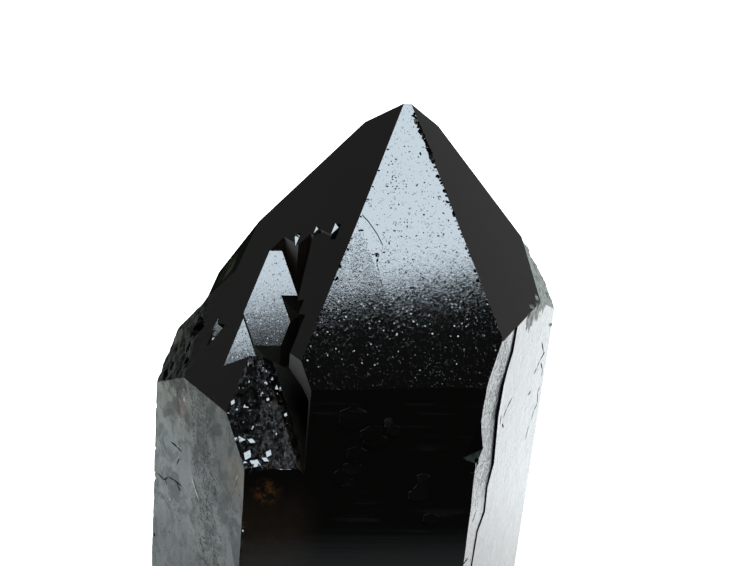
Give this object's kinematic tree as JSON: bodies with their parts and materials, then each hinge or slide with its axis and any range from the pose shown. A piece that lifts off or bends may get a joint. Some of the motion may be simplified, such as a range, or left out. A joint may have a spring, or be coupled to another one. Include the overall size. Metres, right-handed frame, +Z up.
{
  "type": "morion quartz crystal",
  "caption": "Thick black smoky quartz point with a shorter crystal grown along its left side, a deep groove between them, and a flat cut foot to stand on.",
  "frame": {"origin": "middle of the flat cut foot, below the middle of the crystal's box", "axes": "+Z up along the crystal's long axis, -Y towards the large front tip face, +X to the right as seen from the front"},
  "size_m": [0.0578, 0.0462, 0.0939],
  "materials": {
    "morion": "Glassy, near-black and opaque, with frosted grey side faces, a pale crust on one corner and fine pits on the tip faces."
  },
  "bodies": {
    "root": {"quartz_crystal": "morion"}
  },
  "joints": []
}
